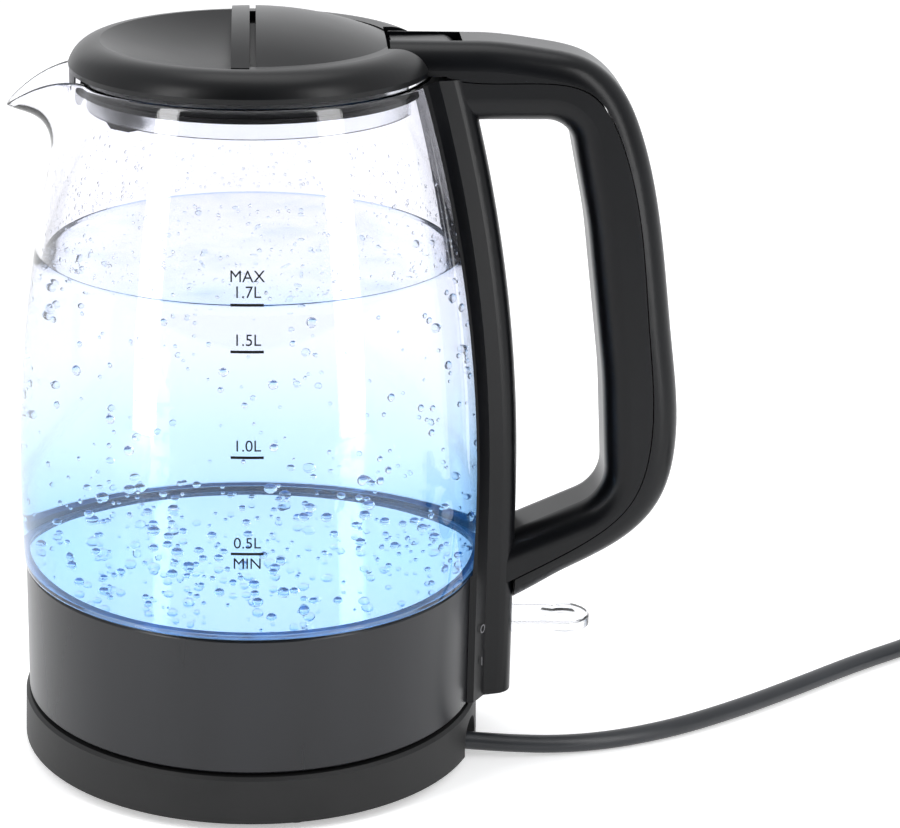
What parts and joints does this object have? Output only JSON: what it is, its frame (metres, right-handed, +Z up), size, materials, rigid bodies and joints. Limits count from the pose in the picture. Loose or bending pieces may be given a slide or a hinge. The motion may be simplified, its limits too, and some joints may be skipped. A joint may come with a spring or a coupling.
{
  "type": "electric kettle",
  "caption": "Cordless electric kettle: glass jug with drawn spout, black collar, side handle, hinged lid and clear switch lever, standing on a round corded power base.",
  "frame": {"origin": "on the jug's vertical axis at table level, under the middle of the round power base", "axes": "+Z up along the jug's axis, +X towards the handle, -X towards the spout, +Y away from the side where the cord runs"},
  "size_m": [0.4344, 0.1684, 0.2438],
  "materials": {
    "base_plastic": "matte dark grey",
    "collar_metal": "satin dark grey",
    "black_plastic": "semi-gloss black",
    "rubber_black": "matte",
    "cord_pvc": "satin",
    "screw_steel": "zinc plated",
    "contact_brass": "bright",
    "plug_nickel": "nickel plated",
    "heater_steel": "brushed",
    "spreader_aluminium": "cast",
    "silicone_clear": "translucent",
    "board_green": "solder mask",
    "led_blue": "emissive blue lens",
    "control_white": "moulded",
    "wire_sleeve": "insulated",
    "jug_glass": "clear borosilicate",
    "clear_plastic": "clear moulded"
  },
  "bodies": {
    "power_base": {"base_housing": "base_plastic", "base_bottom_cover": "base_plastic", "base_feet": "rubber_black", "base_screws": "screw_steel", "base_connector_hub": "black_plastic", "base_contact_rings": "contact_brass", "cord_gland": "black_plastic", "power_cord": "cord_pvc", "power_cord_coil": "cord_pvc", "power_cord_tail": "cord_pvc", "plug_strain_relief": "cord_pvc", "plug_body": "base_plastic", "plug_pins": "plug_nickel", "plug_earth_clips": "plug_nickel"},
    "connector": {"connector_ring": "black_plastic", "connector_contacts": "contact_brass"},
    "kettle": {"collar_shell": "collar_metal", "underside_cover": "base_plastic", "underside_screws": "screw_steel", "heater_plate": "heater_steel", "heat_spreader": "spreader_aluminium", "heating_element": "heater_steel", "glass_seal": "silicone_clear", "led_board": "board_green", "leds": "led_blue", "control_unit": "control_white", "bimetal_disc": "heater_steel", "internal_wires": "wire_sleeve", "glass_jug": "jug_glass", "handle_outer_shell": "black_plastic", "handle_inner_shell": "black_plastic", "handle_screw": "screw_steel", "steam_tube": "silicone_clear", "lid_hinge_pin": "screw_steel", "lever_pivot_pin": "screw_steel", "rocker_pin": "screw_steel"},
    "lid": {"lid_shell": "black_plastic", "lid_cap": "black_plastic", "lid_skirt": "clear_plastic", "lid_seal": "rubber_black", "lid_inner_plate": "black_plastic", "lid_screws": "screw_steel", "lid_latch": "black_plastic", "lid_latch_window": "clear_plastic"},
    "switch": {"switch_lever": "clear_plastic"},
    "rocker": {"trip_rocker": "control_white"}
  },
  "joints": [
    {"name": "kettle_lift", "type": "slide", "parent": "power_base", "child": "connector", "axis": [0, 0, 1], "range_m": [0, 0.06]},
    {"name": "kettle_turn", "type": "hinge", "parent": "connector", "child": "kettle", "pos_m": [0, 0, 0.025], "axis": [0, 0, 1], "continuous": true},
    {"name": "lid_open", "type": "hinge", "parent": "kettle", "child": "lid", "pos_m": [0.0595, 0, 0.2308], "axis": [0, 1, 0], "range_deg": [0, 75]},
    {"name": "switch_press", "type": "hinge", "parent": "kettle", "child": "switch", "pos_m": [0.078, 0, 0.041], "axis": [0, 1, 0], "range_deg": [0, 14]},
    {"name": "rocker_trip", "type": "hinge", "parent": "kettle", "child": "rocker", "pos_m": [0.0615, 0, 0.041], "axis": [0, 1, 0], "range_deg": [-14, 0]}
  ],
  "couplings": [
    {"joint": "rocker_trip", "follows": "switch_press", "ratio": -1}
  ]
}
